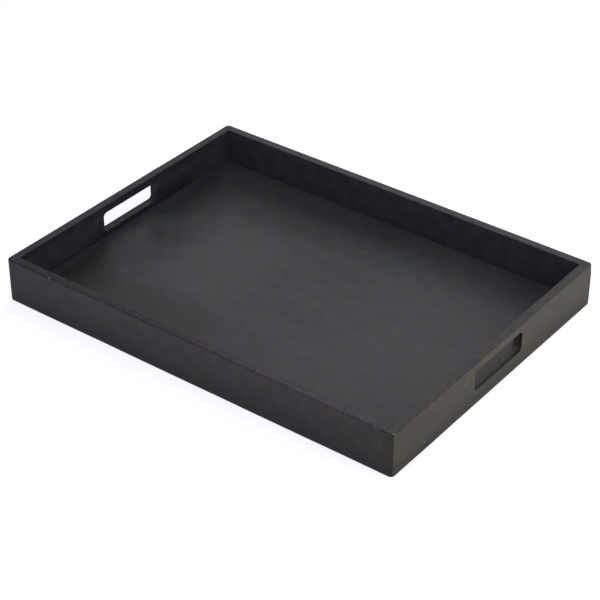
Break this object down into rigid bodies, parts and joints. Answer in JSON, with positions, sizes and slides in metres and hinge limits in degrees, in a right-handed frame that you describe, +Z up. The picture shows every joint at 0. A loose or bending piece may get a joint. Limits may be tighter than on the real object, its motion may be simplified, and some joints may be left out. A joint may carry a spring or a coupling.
{
  "type": "butler tray",
  "caption": "Low rectangular serving tray in black-finished wood, with plain rails round a let-in floor board and an oblong finger slot through each short rail.",
  "frame": {"origin": "middle of the underside, on the surface that the tray stands on", "axes": "+X along the tray towards the right handle rail, +Y across it towards the back rail, +Z up"},
  "size_m": [0.43, 0.32, 0.045],
  "materials": {
    "rail_black": "solid wood stained and painted satin black, with the grain just showing",
    "floor_black": "thin board painted soft satin black, almost smooth",
    "dowel_beech": "bare beech, fluted"
  },
  "bodies": {
    "root": {"front_rail": "rail_black", "back_rail": "rail_black", "left_handle_rail": "rail_black", "right_handle_rail": "rail_black", "base_panel": "floor_black", "dowel_front_left_lower": "dowel_beech", "dowel_front_left_upper": "dowel_beech", "dowel_front_right_lower": "dowel_beech", "dowel_front_right_upper": "dowel_beech", "dowel_back_left_lower": "dowel_beech", "dowel_back_left_upper": "dowel_beech", "dowel_back_right_lower": "dowel_beech", "dowel_back_right_upper": "dowel_beech"}
  },
  "joints": []
}
